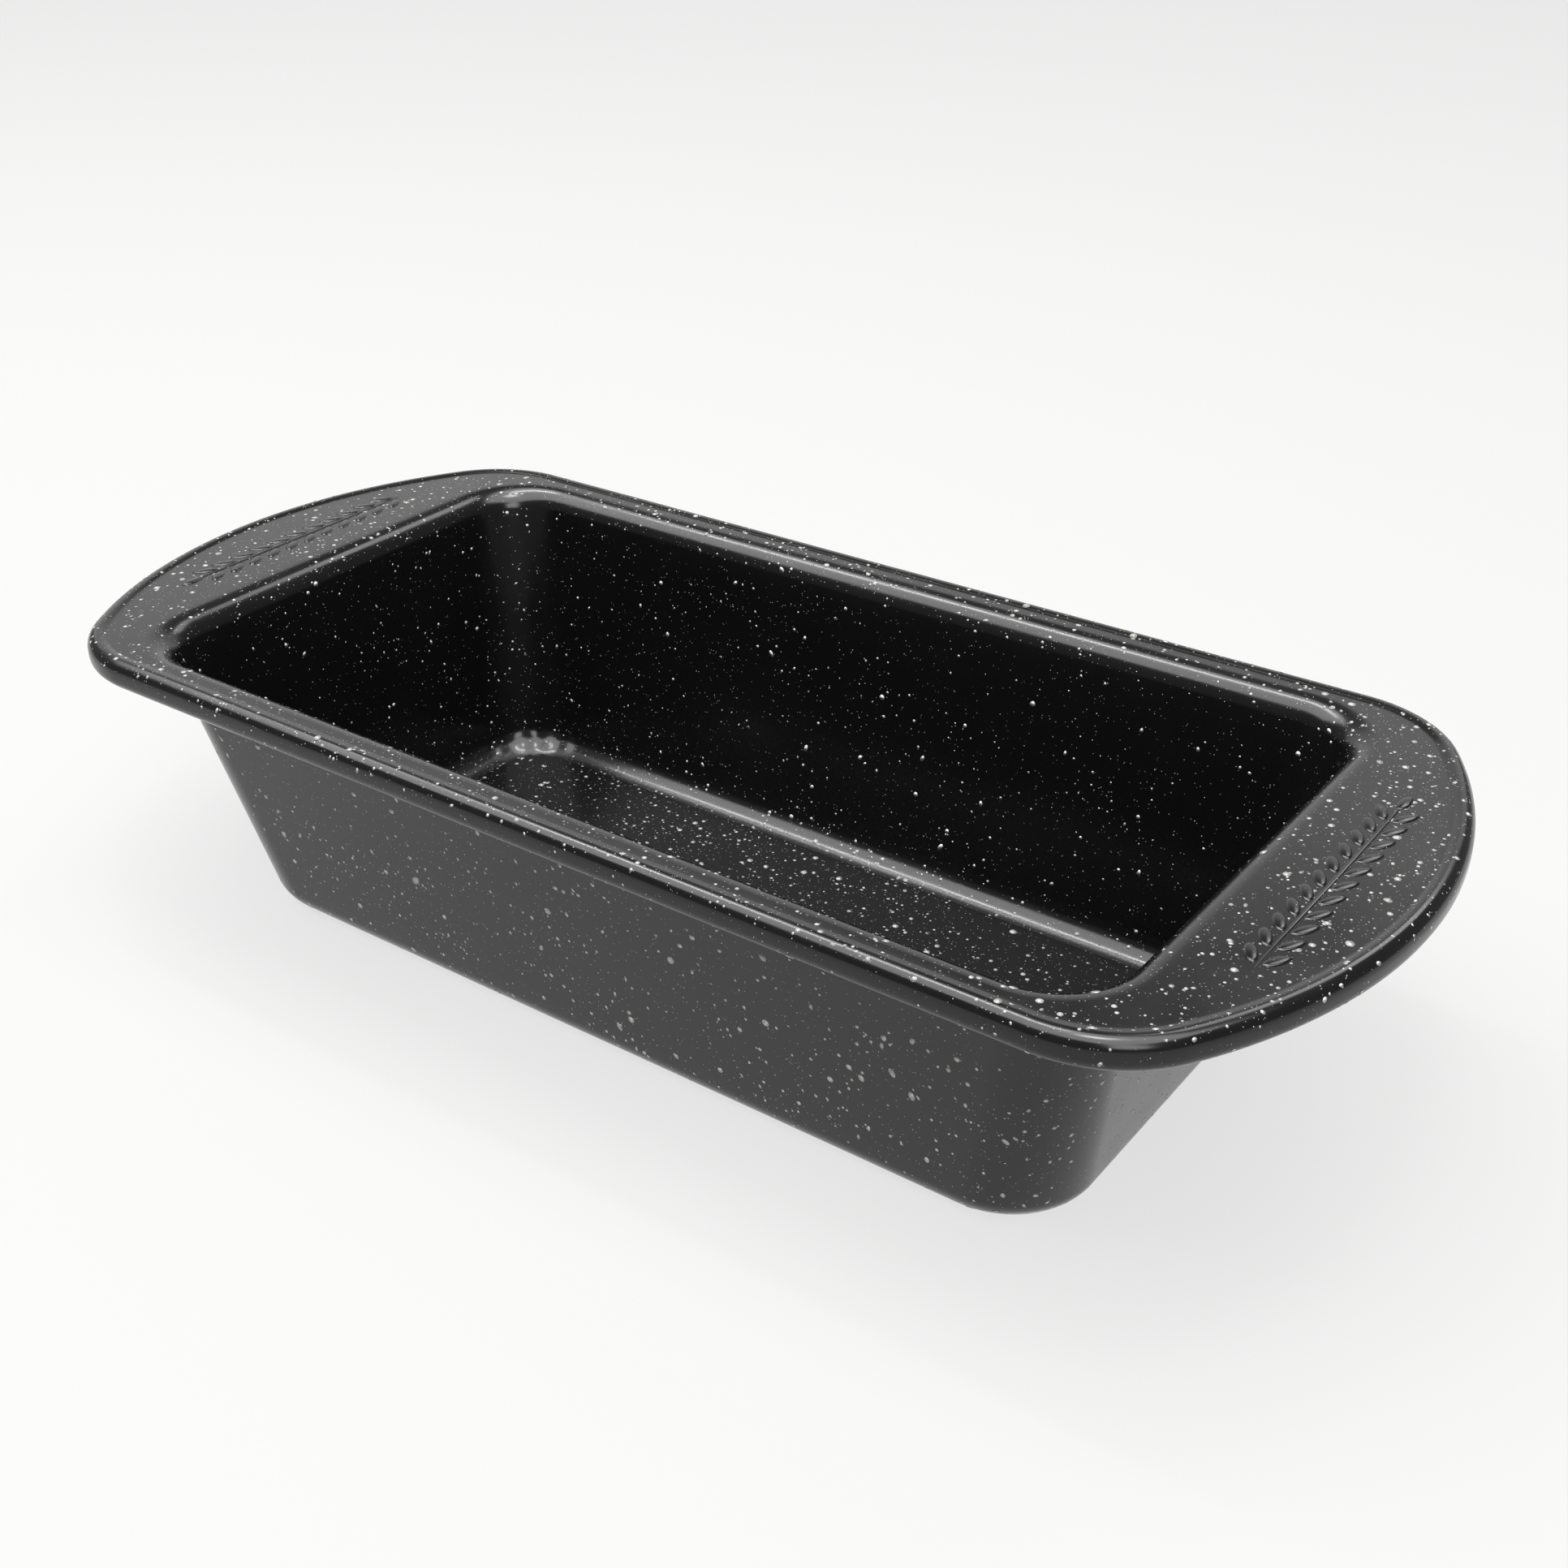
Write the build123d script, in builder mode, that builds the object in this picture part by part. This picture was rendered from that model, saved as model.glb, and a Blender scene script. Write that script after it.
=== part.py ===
from build123d import *
import math
import os

# Loaf pan: one pressed steel sheet with a rolled rim, coated on both faces.
# Millimetres, +Z up, length along X. The origin is the centre of the footprint, on the surface
# that the pan stands on.
#
# A depth is measured through the sheet, square to it: 0 is the face seen from outside and below,
# and the sheet's full thickness is the face seen from inside and above.

# ---- sheet and coats ------------------------------------------------------------------------
steel_thickness = 0.6
coat_thickness = 0.15

# ---- overall sizes --------------------------------------------------------------------------
overall_length = 300.0        # wing tip to wing tip
overall_width = 140.0         # across the long rims
overall_height = 66.0         # surface below to the top of the rim bead

# ---- tapered body ---------------------------------------------------------------------------
mouth_corner_radius = 16.0    # outside of the walls, carried up to the overall height
base_corner_radius = 18.4     # the same corner, carried down to the surface below
wall_draft = 10.65            # degrees from upright, on all four walls
floor_radius = 7.5            # outside, between wall and foot ring
shoulder_radius = 4.6         # underside, between wall and flange

# ---- raised floor panel ---------------------------------------------------------------------
foot_width = 1.2              # flat ring that the pan stands on
panel_rise = 2.0              # floor panel above the foot ring
panel_slope = 60.0            # degrees from the level, of the step up to the panel
panel_corner_radius = 12.0

# ---- flange, wings and rolled rim -----------------------------------------------------------
side_flat = 0.85              # flat strip of a long flange, between shoulder and roll
wing_flat = 24.05             # flat of a wing at its middle, between shoulder and roll
wing_reach = 40.2             # wing tip to the end of the straight long edge
wing_corner_radius = 27.6     # from a long edge into the wing
bead_radius = 2.6             # outside of the roll
bead_height = 6.5
bead_rise = 0.45              # top of the roll above the flange
bead_hollow_radius = 2.0      # from the flange up to the roll
curl_return = 0.8             # straight end of the sheet, turned back up inside the roll
roll_flat = 1.0               # flat strip that is drawn with the roll
cutter_margin = 1.0           # overrun of a cutting volume

# ---- worked out from the sizes above --------------------------------------------------------
sheet_thickness = steel_thickness + 2 * coat_thickness
steel_lower_depth = coat_thickness
steel_upper_depth = coat_thickness + steel_thickness
draft = math.radians(wall_draft)
half_length = overall_length / 2
half_width = overall_width / 2
flange_top = overall_height - bead_rise

# Plan of the rim: a long edge, an arc of wing_corner_radius about corner_centre, then an arc of
# tip_radius about (tip_centre_x, 0), which touches the first arc and reaches the wing tip.
long_edge_half = half_length - wing_reach
corner_centre = (long_edge_half, half_width - wing_corner_radius)
tip_radius = (wing_reach**2 + corner_centre[1] ** 2 - wing_corner_radius**2) / (
    2 * (wing_reach - wing_corner_radius)
)
tip_centre_x = half_length - tip_radius
tip_angle = math.degrees(math.atan2(corner_centre[1], corner_centre[0] - tip_centre_x))
corner_angle = 90 - tip_angle

# Section of the rolled rim: (inset from the outline, height) of its arcs' centres.
roll_top = (bead_radius, overall_height - bead_radius)
roll_bottom = (bead_radius, overall_height - bead_height + bead_radius)
hollow_drop = flange_top + bead_hollow_radius - roll_top[1]
hollow_run = math.sqrt((bead_radius + bead_hollow_radius) ** 2 - hollow_drop**2)
hollow_centre = (bead_radius + hollow_run, flange_top + bead_hollow_radius)
hollow_angle = math.degrees(math.atan2(hollow_run, hollow_drop))
seam_inset = hollow_centre[0] + roll_flat

# Outside of the body at its mouth: the walls, carried up through the shoulder to the overall height.
turn_run = math.tan((math.pi / 2 - draft) / 2)
shoulder_inset = seam_inset + shoulder_radius * turn_run
mouth_shift = (bead_rise + sheet_thickness) * math.tan(draft)
mouth_length = overall_length - 2 * (shoulder_inset + wing_flat - mouth_shift)
mouth_width = overall_width - 2 * (shoulder_inset + side_flat - mouth_shift)


def wing_plan(inset):
    """Face inside the pan's outline, with the outline moved inwards by inset."""
    long_y = half_width - inset
    corner = wing_corner_radius - inset
    tip = tip_radius - inset
    right_x, corner_y = corner_centre
    with BuildSketch() as plan:
        with BuildLine():
            Line((-right_x, long_y), (right_x, long_y))
            CenterArc((right_x, corner_y), corner, tip_angle, corner_angle)
            CenterArc((tip_centre_x, 0), tip, -tip_angle, 2 * tip_angle)
            CenterArc((right_x, -corner_y), corner, -90, corner_angle)
            Line((right_x, -long_y), (-right_x, -long_y))
            CenterArc((-right_x, -corner_y), corner, 180 + tip_angle, corner_angle)
            CenterArc((-tip_centre_x, 0), tip, 180 - tip_angle, 2 * tip_angle)
            CenterArc((-right_x, corner_y), corner, 90, corner_angle)
        make_face()
    return plan.sketch


def body_section(height, depth):
    """Length, width and corner radius of the body at a height, on the sheet's face at depth."""
    wall_shift = depth / math.cos(draft)
    spread = (overall_height - height) * math.tan(draft) + wall_shift
    share = height / overall_height
    corner = base_corner_radius + (mouth_corner_radius - base_corner_radius) * share
    return mouth_length - 2 * spread, mouth_width - 2 * spread, corner - wall_shift


def panel_section(depth):
    """Length, width and corner radius of the floor panel's step, where it leaves the foot ring."""
    length, width, _ = body_section(0, 0)
    step_shift = depth * math.tan(math.radians(panel_slope) / 2)
    inset = floor_radius * turn_run + foot_width - step_shift
    return length - 2 * inset, width - 2 * inset, panel_corner_radius + step_shift


def filled_volume(depth, margin):
    """Solid that fills the pan from the sheet's face at depth to above the rim.

    It ends at the seam with the rolled rim, or margin further out and up as a cutting volume.
    """
    underside = flange_top - sheet_thickness + depth
    with BuildPart() as volume:
        with BuildSketch(Plane.XY.offset(depth)):
            RectangleRounded(*body_section(depth, depth))
        with BuildSketch(Plane.XY.offset(overall_height)):
            RectangleRounded(*body_section(overall_height, depth))
        loft()
        fillet(volume.edges().group_by(Axis.Z)[0], floor_radius - depth)
        with BuildSketch(Plane.XY.offset(depth)):
            RectangleRounded(*panel_section(depth))
        extrude(amount=panel_rise, taper=90 - panel_slope, mode=Mode.SUBTRACT)
        with BuildSketch(Plane.XY.offset(underside)):
            add(wing_plan(seam_inset - margin))
        extrude(amount=overall_height + margin - underside)
        throat = [
            edge
            for edge in volume.edges().filter_by_position(Axis.Z, underside, underside)
            if abs(edge.center().X) < mouth_length / 2 and abs(edge.center().Y) < mouth_width / 2
        ]
        fillet(throat, shoulder_radius + depth)
    return volume.part


def roll_section(lower_depth, upper_depth):
    """Section of the rolled rim between two depths, as (inset from the outline, height)."""
    curl_end = roll_bottom[1] + curl_return
    with BuildSketch() as section:
        with BuildLine():
            for depth in (lower_depth, upper_depth):
                below_top = sheet_thickness - depth
                roll = bead_radius - below_top
                level = flange_top - below_top
                Line((seam_inset, level), (hollow_centre[0], level))
                CenterArc(hollow_centre, bead_hollow_radius + below_top, -90, -hollow_angle)
                CenterArc(roll_top, roll, 90 - hollow_angle, 90 + hollow_angle)
                Line((bead_radius - roll, roll_top[1]), (bead_radius - roll, roll_bottom[1]))
                CenterArc(roll_bottom, roll, 180, 180)
                Line((bead_radius + roll, roll_bottom[1]), (bead_radius + roll, curl_end))
            for start, end in (
                ((seam_inset, flange_top - sheet_thickness + lower_depth),
                 (seam_inset, flange_top - sheet_thickness + upper_depth)),
                ((2 * bead_radius - sheet_thickness + lower_depth, curl_end),
                 (2 * bead_radius - sheet_thickness + upper_depth, curl_end)),
            ):
                Line(start, end)
        make_face()
    return section.sketch


def section_plane(x, y, angle):
    """Upright plane at (x, y) whose first axis points into the pan, against the angle."""
    inward = (-math.cos(math.radians(angle)), -math.sin(math.radians(angle)), 0)
    along = (inward[1], -inward[0], 0)
    return Plane(origin=(x, y, 0), x_dir=inward, z_dir=along)


def rolled_rim(lower_depth, upper_depth):
    """Rolled rim all round the pan, between two depths in the sheet."""
    section = roll_section(lower_depth, upper_depth)
    tip_start = math.radians(tip_angle)
    tip_x = tip_centre_x + tip_radius * math.cos(tip_start)
    tip_y = tip_radius * math.sin(tip_start)
    with BuildPart() as rim:
        with BuildSketch(section_plane(long_edge_half, half_width, 90)):
            add(section)
        extrude(amount=long_edge_half)
        with BuildSketch(section_plane(long_edge_half, half_width, 90)):
            add(section)
        revolve(axis=Axis((*corner_centre, 0), (0, 0, -1)), revolution_arc=corner_angle)
        with BuildSketch(section_plane(tip_x, tip_y, tip_angle)):
            add(section)
        revolve(axis=Axis((tip_centre_x, 0, 0), (0, 0, -1)), revolution_arc=tip_angle)
        mirror(about=Plane.XZ)
        mirror(about=Plane.YZ)
    return rim.part


volumes = {depth: filled_volume(depth, 0) for depth in (0, steel_lower_depth, steel_upper_depth)}
cutters = {
    depth: filled_volume(depth, cutter_margin)
    for depth in (steel_lower_depth, steel_upper_depth, sheet_thickness)
}
outer_rim = rolled_rim(0, steel_lower_depth)
steel_rim = rolled_rim(steel_lower_depth, steel_upper_depth)
inner_rim = rolled_rim(steel_upper_depth, sheet_thickness)

# ---- steel shell: floor, walls, flange, wings and rolled rim, drawn from one sheet ------------
with BuildPart() as steel_shell:
    add(volumes[steel_lower_depth])
    add(cutters[steel_upper_depth], mode=Mode.SUBTRACT)
    add(steel_rim)
steel_shell.part.label = "steel_shell"

# ---- inner coat: cavity, top of the flange and the outside of the roll ------------------------
with BuildPart() as inner_coating:
    add(volumes[steel_upper_depth])
    add(cutters[sheet_thickness], mode=Mode.SUBTRACT)
    add(inner_rim)
inner_coating.part.label = "inner_coating"

# ---- outer coat: outside of the body, underside of the flange and the inside of the roll ------
with BuildPart() as outer_coating:
    add(volumes[0])
    add(cutters[steel_lower_depth], mode=Mode.SUBTRACT)
    add(outer_rim)
outer_coating.part.label = "outer_coating"

os.makedirs("parts", exist_ok=True)
export_step(steel_shell.part, "parts/steel_shell.step")
export_step(inner_coating.part, "parts/inner_coating.step")
export_step(outer_coating.part, "parts/outer_coating.step")
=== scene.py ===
import logging
import math
from dataclasses import dataclass
from enum import Enum

import bmesh
import bpy
import numpy as np
from mathutils import Matrix, Vector


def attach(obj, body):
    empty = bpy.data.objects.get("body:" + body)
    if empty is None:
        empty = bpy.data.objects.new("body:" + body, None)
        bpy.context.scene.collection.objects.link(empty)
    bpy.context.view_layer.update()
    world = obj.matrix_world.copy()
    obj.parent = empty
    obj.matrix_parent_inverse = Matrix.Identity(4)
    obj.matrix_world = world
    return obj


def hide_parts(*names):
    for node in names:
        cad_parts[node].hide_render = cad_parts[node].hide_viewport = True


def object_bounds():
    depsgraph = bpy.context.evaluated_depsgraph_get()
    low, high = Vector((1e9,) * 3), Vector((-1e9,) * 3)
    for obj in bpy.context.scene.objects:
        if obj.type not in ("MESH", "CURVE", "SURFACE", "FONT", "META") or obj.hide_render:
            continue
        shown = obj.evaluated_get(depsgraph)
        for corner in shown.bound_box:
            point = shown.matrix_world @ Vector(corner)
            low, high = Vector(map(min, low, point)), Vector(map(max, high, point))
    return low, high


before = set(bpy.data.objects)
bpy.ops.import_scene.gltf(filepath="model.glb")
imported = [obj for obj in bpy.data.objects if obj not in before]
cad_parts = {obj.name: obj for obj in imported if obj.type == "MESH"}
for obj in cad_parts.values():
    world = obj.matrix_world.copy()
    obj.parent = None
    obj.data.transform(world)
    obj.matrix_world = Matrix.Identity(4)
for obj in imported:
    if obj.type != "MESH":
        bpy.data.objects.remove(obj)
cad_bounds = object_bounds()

# Loaf pan: a pressed steel sheet with a rolled rim, coated dark and spattered with light grey.
# Metres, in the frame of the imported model: +X along the pan, +Z up, standing on z = 0.
#
# A depth is measured through the sheet, square to it: 0 is the face seen from outside and below,
# and the sheet's full thickness is the face seen from the cavity.

log = logging.getLogger("loaf_pan")
ROOT = "root"


def mm(value: float) -> float:
    """Turns millimetres into metres."""
    return value * 0.001


def linear(hex_colour: str) -> tuple[float, float, float, float]:
    """Turns an sRGB hex colour into the linear colour that a shader takes.

    Args:
        hex_colour: Six hex digits, with or without a leading #.

    Returns:
        Linear red, green and blue, and an alpha of 1.
    """
    digits = hex_colour.lstrip("#")
    parts = [int(digits[i:i + 2], 16) / 255 for i in (0, 2, 4)]
    straight = [c / 12.92 if c <= 0.04045 else ((c + 0.055) / 1.055) ** 2.4 for c in parts]
    return straight[0], straight[1], straight[2], 1.0


def add_node(tree: bpy.types.NodeTree, kind: str, settings: dict | None = None,
             links: dict | None = None) -> bpy.types.Node:
    """Adds a node to a tree, with its settings and what feeds it.

    Args:
        tree: The tree that gets the node.
        kind: The node's type.
        settings: Values for the node's own properties, or for inputs by name or index.
        links: What feeds the node's inputs, by input name or index: output sockets or values.

    Returns:
        The new node.
    """
    node = tree.nodes.new(kind)
    for name, value in (settings or {}).items():
        if isinstance(name, str) and hasattr(node, name):
            setattr(node, name, value)
        else:
            node.inputs[name].default_value = value
    for name, source in (links or {}).items():
        if isinstance(source, bpy.types.NodeSocket):
            tree.links.new(source, node.inputs[name])
        else:
            node.inputs[name].default_value = source
    return node


def smooth_step(low: float, high: float, value: np.ndarray) -> np.ndarray:
    """Rises smoothly from 0 to 1 while value goes from low to high."""
    share = np.clip((value - low) / (high - low), 0.0, 1.0)
    return share * share * (3 - 2 * share)


# ---- the sheet's shape -------------------------------------------------------------------------


# Points closer than this are one point, and edges shorter than this are dropped.
WELD = mm(0.004)
SLIVER = mm(0.001)


class Face(Enum):
    """The two faces of the sheet that a coat lies on."""

    CAVITY = "cavity"
    OUTSIDE = "outside"


@dataclass(frozen=True)
class Stations:
    """How many steps a loop round the pan takes in each quarter."""

    short_side: int = 40
    corner: int = 44
    long_side: int = 40

    @property
    def around(self) -> int:
        """Points in a whole loop."""
        return 4 * (self.short_side + self.corner + self.long_side)

    def close(self, quarter: np.ndarray) -> np.ndarray:
        """Mirrors a quarter loop, from the +X axis to the +Y axis, into a whole loop.

        Args:
            quarter: Points of the first quarter, both ends included, as (n + 1, 3).

        Returns:
            Points of the whole loop, counter-clockwise, as (4 n, 3).
        """
        left = quarter[-2::-1] * (-1, 1, 1)
        below = quarter[1:] * (-1, -1, 1)
        right = quarter[-2:0:-1] * (1, -1, 1)
        return np.vstack((quarter, left, below, right))


@dataclass(frozen=True)
class SheetShape:
    """The pressed sheet: its sizes, and loops round the pan on any layer of the sheet."""

    length: float
    width: float
    height: float
    steel: float = mm(0.6)
    coat: float = mm(0.15)
    mouth_corner: float = mm(16.0)
    base_corner: float = mm(18.4)
    draft: float = math.radians(10.65)
    floor_radius: float = mm(7.5)
    shoulder_radius: float = mm(4.6)
    foot_width: float = mm(1.2)
    panel_rise: float = mm(2.0)
    panel_slope: float = math.radians(60.0)
    panel_corner: float = mm(12.0)
    bend_outside: float = mm(0.85)
    bend_inside: float = mm(0.55)
    side_flat: float = mm(0.85)
    wing_flat: float = mm(24.05)
    wing_reach: float = mm(40.2)
    wing_corner: float = mm(27.6)
    bead_radius: float = mm(2.6)
    bead_height: float = mm(6.5)
    bead_rise: float = mm(0.45)
    hollow_radius: float = mm(2.0)
    curl_return: float = mm(0.8)
    roll_flat: float = mm(1.0)
    stations: Stations = Stations()

    @property
    def sheet(self) -> float:
        """Thickness of the steel and both coats."""
        return self.steel + 2 * self.coat

    @property
    def flange_top(self) -> float:
        """Height of the flange's upper face."""
        return self.height - self.bead_rise

    @property
    def turn_run(self) -> float:
        """Run of a fillet of radius 1 between a level face and a wall."""
        return math.tan((math.pi / 2 - self.draft) / 2)

    @property
    def hollow_centre(self) -> tuple[float, float]:
        """Inset and height of the centre of the hollow between the flange and the roll."""
        drop = self.flange_top + self.hollow_radius - self.height + self.bead_radius
        reach = self.bead_radius + self.hollow_radius
        return (self.bead_radius + math.sqrt(reach**2 - drop**2),
                self.flange_top + self.hollow_radius)

    @property
    def seam_inset(self) -> float:
        """Inset from the outline at which the flat flange meets the roll's own strip."""
        return self.hollow_centre[0] + self.roll_flat

    @property
    def mouth_half_width(self) -> float:
        """Half width of the outside of the walls, carried up to the overall height."""
        shift = (self.bead_rise + self.sheet) * math.tan(self.draft)
        run = self.shoulder_radius * self.turn_run
        return self.width / 2 - self.seam_inset - self.side_flat - run + shift

    @property
    def length_excess(self) -> float:
        """How much longer than wide half of the body is."""
        return (self.length - self.width) / 2 - self.wing_flat + self.side_flat

    @property
    def corner_centre(self) -> tuple[float, float]:
        """Centre of the arc from a long edge into a wing."""
        return self.length / 2 - self.wing_reach, self.width / 2 - self.wing_corner

    @property
    def tip_radius(self) -> float:
        """Radius of the wing's outer arc, which touches the corner arc and reaches the tip."""
        centre_y = self.corner_centre[1]
        squares = self.wing_reach**2 + centre_y**2 - self.wing_corner**2
        return squares / (2 * (self.wing_reach - self.wing_corner))

    def body_loop(self, half_width: float, corner: float, height: float) -> np.ndarray:
        """Loop of a rounded rectangle that follows the body.

        Args:
            half_width: Half of the rectangle's width.
            corner: Its corner radius.
            height: Height of the loop.

        Returns:
            The loop's points.
        """
        half_length = half_width + self.length_excess
        steps = self.stations
        rise = np.linspace(0, 1, steps.short_side, endpoint=False)
        turn = np.linspace(0, math.pi / 2, steps.corner, endpoint=False)
        back = np.linspace(1, 0, steps.long_side + 1)
        x = np.concatenate((np.full_like(rise, half_length),
                            half_length - corner + corner * np.cos(turn),
                            (half_length - corner) * back))
        y = np.concatenate(((half_width - corner) * rise,
                            half_width - corner + corner * np.sin(turn),
                            np.full_like(back, half_width)))
        return steps.close(np.column_stack((x, y, np.full_like(x, height))))

    def outline_loop(self, inset: float, height: float) -> np.ndarray:
        """Loop that follows the pan's outline.

        Args:
            inset: How far inside the outline it runs.
            height: Height of the loop.

        Returns:
            The loop's points.
        """
        centre_x, centre_y = self.corner_centre
        tip_x = self.length / 2 - self.tip_radius
        tip_angle = math.atan2(centre_y, centre_x - tip_x)
        steps = self.stations
        tip = np.linspace(0, tip_angle, steps.short_side, endpoint=False)
        turn = np.linspace(tip_angle, math.pi / 2, steps.corner, endpoint=False)
        back = np.linspace(1, 0, steps.long_side + 1)
        tip_reach = self.tip_radius - inset
        turn_reach = self.wing_corner - inset
        x = np.concatenate((tip_x + tip_reach * np.cos(tip),
                            centre_x + turn_reach * np.cos(turn),
                            centre_x * back))
        y = np.concatenate((tip_reach * np.sin(tip),
                            centre_y + turn_reach * np.sin(turn),
                            np.full_like(back, self.width / 2 - inset)))
        return steps.close(np.column_stack((x, y, np.full_like(x, height))))

    def wall_half_width(self, height: float, depth: float) -> float:
        """Half width of the body's walls at a height, on the layer at depth."""
        spread = (self.height - height) * math.tan(self.draft)
        return self.mouth_half_width - spread - depth / math.cos(self.draft)

    def wall_corner(self, height: float, depth: float) -> float:
        """Corner radius of the body's walls at a height, on the layer at depth."""
        share = height / self.height
        radius = self.base_corner + (self.mouth_corner - self.base_corner) * share
        return radius - depth / math.cos(self.draft)

    def corner_at(self, half_width: float, height: float, depth: float) -> float:
        """Corner radius of a loop that lies off the wall, in step with the wall's own corner."""
        return (self.wall_corner(height, depth) + half_width
                - self.wall_half_width(height, depth))

    def floor_section(self, depth: float, steps: int) -> list[tuple[float, float, float]]:
        """Section of the floor panel and the step down to the foot ring.

        Args:
            depth: Layer of the sheet.
            steps: Steps across the flat panel.

        Returns:
            (half width, height, corner radius) from the middle outwards.
        """
        edge_bend, foot_bend = self.bend_inside, self.bend_outside
        if depth > self.sheet / 2:
            edge_bend, foot_bend = foot_bend, edge_bend
        half_turn = math.tan(self.panel_slope / 2)
        shift = depth * half_turn
        foot = (self.wall_half_width(0, 0) - self.floor_radius * self.turn_run
                - self.foot_width + shift)
        foot_corner = self.panel_corner + shift
        edge = foot - self.panel_rise / math.tan(self.panel_slope)
        top = depth + self.panel_rise
        flat = edge - edge_bend * half_turn
        flat_corner = foot_corner + flat - foot
        section = [(flat * share, top, flat_corner * share) for share in np.linspace(0, 1, steps)]
        turns = np.linspace(0, self.panel_slope, 6)
        for turn in turns[1:]:
            out = flat + edge_bend * math.sin(turn)
            section.append((out, top - edge_bend * (1 - math.cos(turn)), foot_corner + out - foot))
        for turn in turns[::-1]:
            out = foot + foot_bend * (half_turn - math.sin(turn))
            section.append((out, depth + foot_bend * (1 - math.cos(turn)),
                            foot_corner + out - foot))
        return section

    def wall_section(self, depth: float, fillet: int, wall: int,
                     shoulder: int) -> list[tuple[float, float, float]]:
        """Section from the foot ring up the wall and over the shoulder to the flange.

        Args:
            depth: Layer of the sheet.
            fillet: Steps round the floor's fillet.
            wall: Steps up the wall.
            shoulder: Steps round the shoulder.

        Returns:
            (half width, height, corner radius) from the foot ring outwards.
        """
        low_bend = self.floor_radius - depth
        centre = self.wall_half_width(depth, depth) - low_bend * self.turn_run
        spots = [(centre + low_bend * math.sin(turn), depth + low_bend * (1 - math.cos(turn)))
                 for turn in np.linspace(0, math.pi / 2 - self.draft, fillet)]
        level = self.flange_top - self.sheet + depth
        high_bend = self.shoulder_radius + depth
        wall_end = level - high_bend * (1 - math.sin(self.draft))
        spots += [(self.wall_half_width(height, depth), height)
                  for height in np.linspace(spots[-1][1], wall_end, wall)[1:]]
        throat = self.wall_half_width(level, depth) + high_bend * self.turn_run
        spots += [(throat - high_bend * math.cos(turn), level - high_bend * (1 - math.sin(turn)))
                  for turn in np.linspace(self.draft, math.pi / 2, shoulder)[1:]]
        return [(out, height, self.corner_at(out, height, depth)) for out, height in spots]

    def roll_section(self, depth: float, arc: int) -> list[tuple[float, float]]:
        """Section of the rolled rim, from the seam with the flange to the end of the curl.

        Args:
            depth: Layer of the sheet.
            arc: Steps round half of the roll.

        Returns:
            (inset from the outline, height) from the flange outwards.
        """
        below_top = self.sheet - depth
        roll = self.bead_radius - below_top
        hollow = self.hollow_radius + below_top
        hollow_x, hollow_y = self.hollow_centre
        top = self.height - self.bead_radius
        bottom = self.height - self.bead_height + self.bead_radius
        tilt = math.atan2(hollow_x - self.bead_radius, hollow_y - top)
        section = [(self.seam_inset, self.flange_top - below_top)]
        section += [(hollow_x - hollow * math.sin(turn), hollow_y - hollow * math.cos(turn))
                    for turn in np.linspace(0, tilt, max(3, arc // 2))]
        section += [(self.bead_radius + roll * math.sin(turn), top + roll * math.cos(turn))
                    for turn in np.linspace(tilt, -math.pi / 2, arc)[1:]]
        section += [(self.bead_radius + roll * math.sin(turn), bottom - roll * math.cos(turn))
                    for turn in np.linspace(-math.pi / 2, math.pi / 2, arc)]
        section.append((self.bead_radius + roll, bottom + self.curl_return))
        return section

    def floor_corner_centre(self) -> tuple[float, float]:
        """Centre of the floor's corner arcs, in the +X +Y quarter."""
        half = self.wall_half_width(self.sheet, self.sheet)
        corner = self.wall_corner(self.sheet, self.sheet)
        return half + self.length_excess - corner, half - corner


@dataclass(frozen=True)
class LoopCounts:
    """Loops that each stretch of a coat's face is drawn with."""

    floor: int = 12
    fillet: int = 20
    wall: int = 14
    shoulder: int = 14
    flange: int = 10
    roll: int = 12


@dataclass(frozen=True)
class Pucker:
    """One ridge of a puckered corner: degrees round the corner, half width in degrees, lift."""

    angle: float
    spread: float
    lift: float


@dataclass(frozen=True)
class CornerPuckers:
    """Radial ripples that drawing leaves at the floor's corners, in the fillets and the panel."""

    centre: tuple[float, float]
    ridges: tuple[Pucker, ...] = (
        Pucker(15.0, 6.0, mm(0.3)),
        Pucker(37.0, 6.5, mm(0.5)),
        Pucker(58.0, 5.5, mm(0.45)),
        Pucker(77.0, 7.0, mm(0.3)),
    )
    low: float = mm(0.9)
    peak: float = mm(2.4)
    high: float = mm(13.0)
    fade: float = 1.3
    margin: float = mm(2)

    def heights(self, points: np.ndarray) -> np.ndarray:
        """Lift of each point, square to the sheet.

        Args:
            points: Points on the cavity face, as (..., 3).

        Returns:
            The lift of each point.
        """
        x = np.abs(points[..., 0]) - self.centre[0]
        y = np.abs(points[..., 1]) - self.centre[1]
        angle = np.degrees(np.arctan2(y, x))
        lift = sum(ridge.lift * np.exp(-((angle - ridge.angle) / ridge.spread) ** 2)
                   for ridge in self.ridges)
        height = points[..., 2]
        window = smooth_step(self.low, self.peak, height)
        left = np.clip((self.high - height) / (self.high - self.peak), 0.0, 1.0)
        window = window * left ** self.fade
        inside = (x > -self.margin) & (y > -self.margin) & (np.hypot(x, y) > self.margin)
        return np.where(inside, lift * window, 0.0)


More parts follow.
